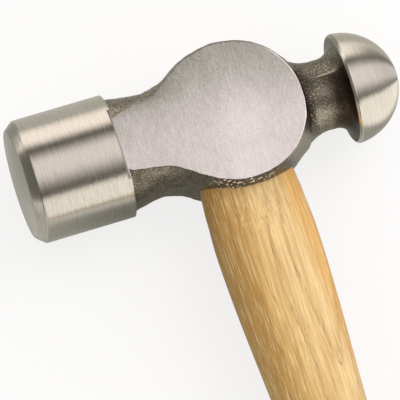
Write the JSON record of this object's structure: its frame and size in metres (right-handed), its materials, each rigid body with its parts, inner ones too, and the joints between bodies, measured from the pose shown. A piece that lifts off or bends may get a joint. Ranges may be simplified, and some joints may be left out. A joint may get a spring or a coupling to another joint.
{
  "type": "engineers hammer",
  "caption": "Ball peen hammer: a forged steel head with a round turned poll, a round boss with ground cheeks and a ball peen, wedged on an oval ash handle.",
  "frame": {"origin": "middle of the striking face, on the axis of the head", "axes": "+X along the head from the striking face to the ball, -Y down the handle, +Z out of the upper cheek"},
  "size_m": [0.0944, 0.3294, 0.03],
  "materials": {
    "forged_steel": "turned poll and ball, ground cheeks, dark shot-blasted forging between them",
    "ash_wood": "straight-grained ash under clear varnish",
    "beech_wood": "bare sawn hardwood",
    "wedge_steel": "plain stamped steel"
  },
  "bodies": {
    "root": {"hammer_head": "forged_steel", "handle": "ash_wood", "wooden_wedge": "beech_wood", "steel_wedge_face_side": "wedge_steel", "steel_wedge_peen_side": "wedge_steel"}
  },
  "joints": []
}
